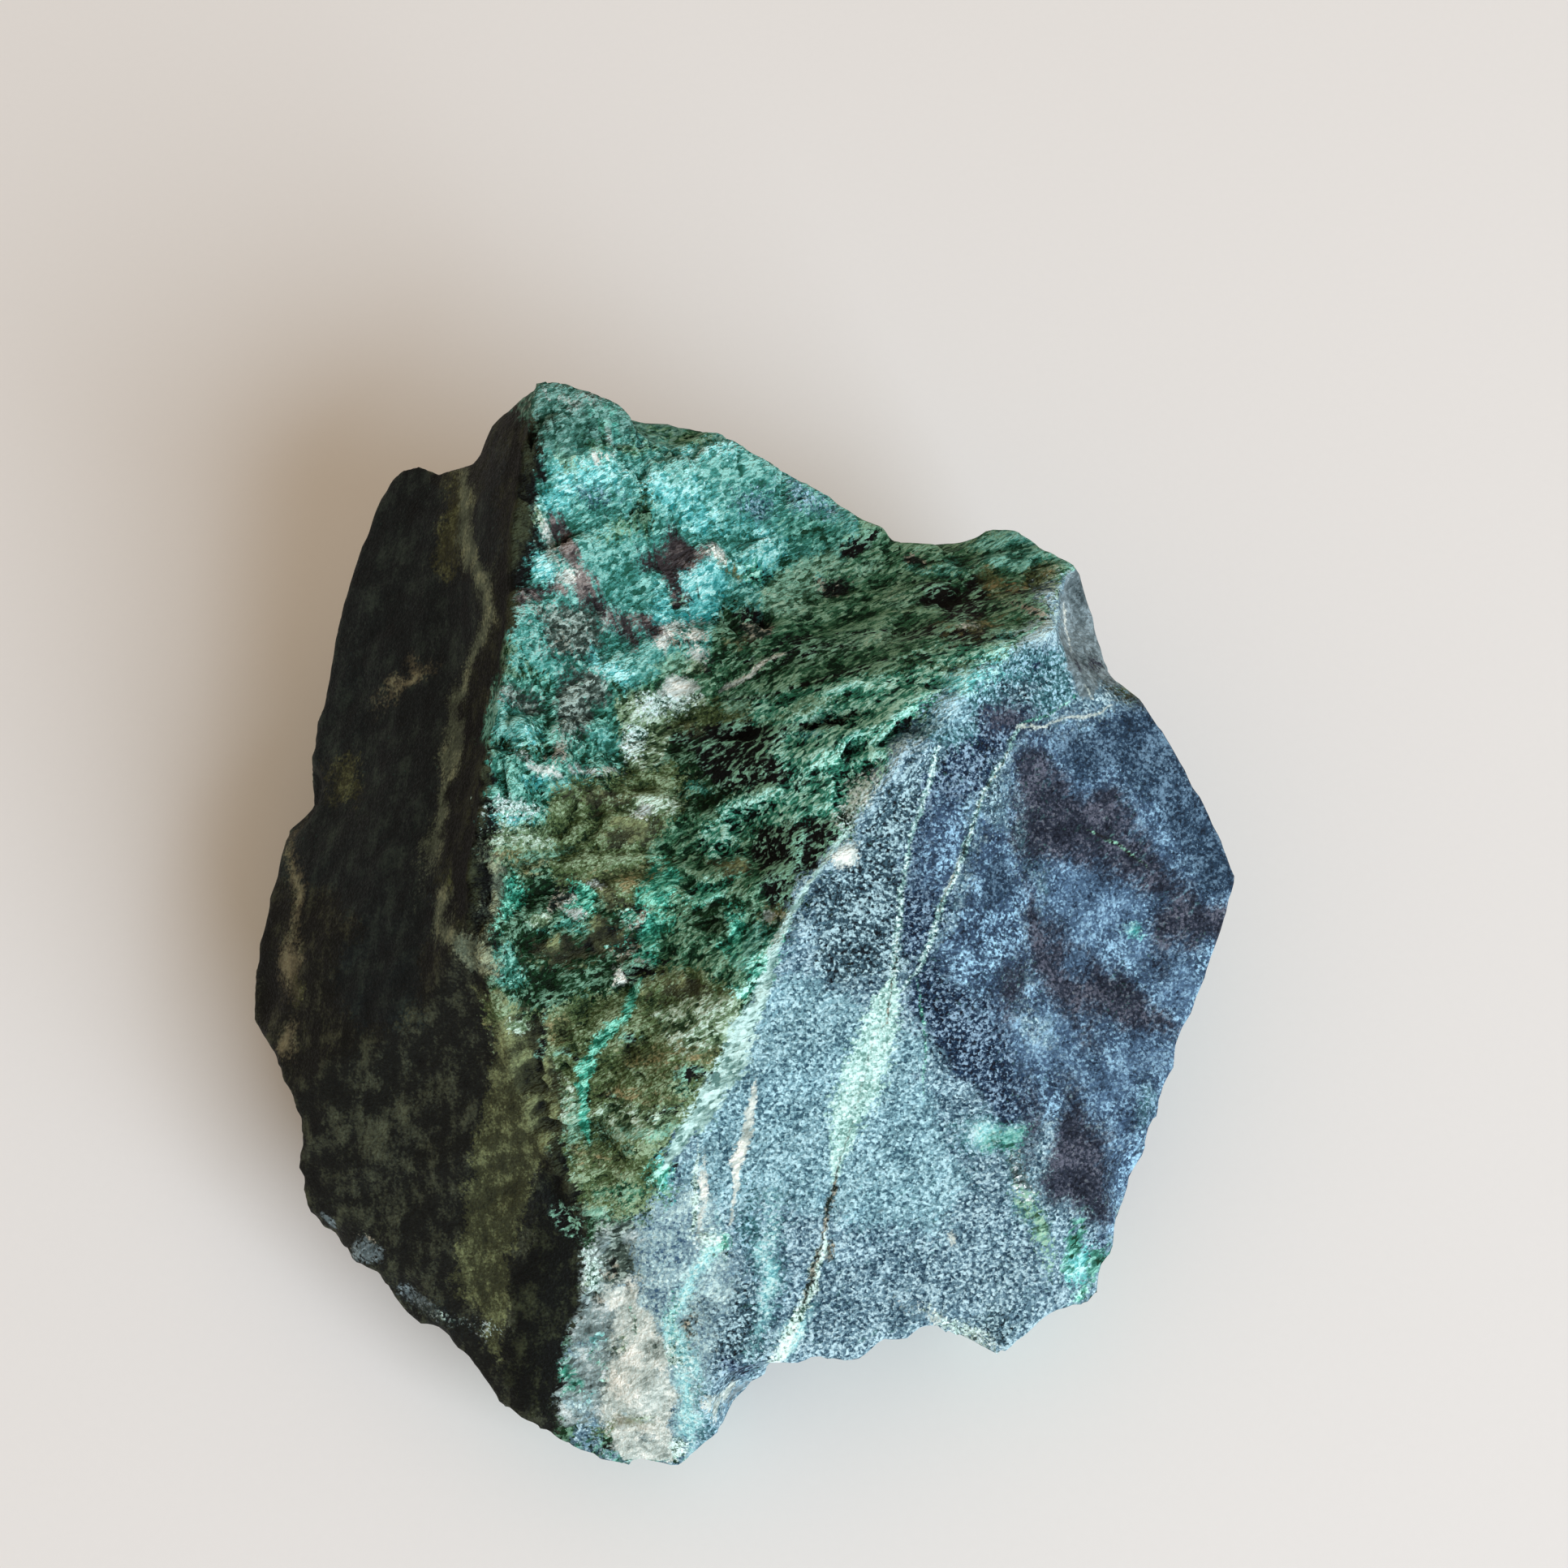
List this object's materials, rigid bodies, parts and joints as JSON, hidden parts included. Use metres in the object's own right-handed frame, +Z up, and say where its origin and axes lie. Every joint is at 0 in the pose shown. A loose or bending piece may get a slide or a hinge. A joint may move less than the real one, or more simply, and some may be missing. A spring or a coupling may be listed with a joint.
{
  "type": "rough eilat stone",
  "caption": "Rough lump of green and blue copper rock with a smooth blue break face, a rough green hollow and dark left faces, resting on a flat base.",
  "frame": {"origin": "middle of the bounding box, at the level of the flat base", "axes": "+Z up from the base; +X to the right and +Y to the back of the stone as it is seen with the blue face in front on the right"},
  "size_m": [0.047, 0.047, 0.024],
  "materials": {
    "stone": "rough broken rock, matt to faintly satin, with fine crystal sparkle"
  },
  "bodies": {
    "root": {"stone": "stone"}
  },
  "joints": []
}
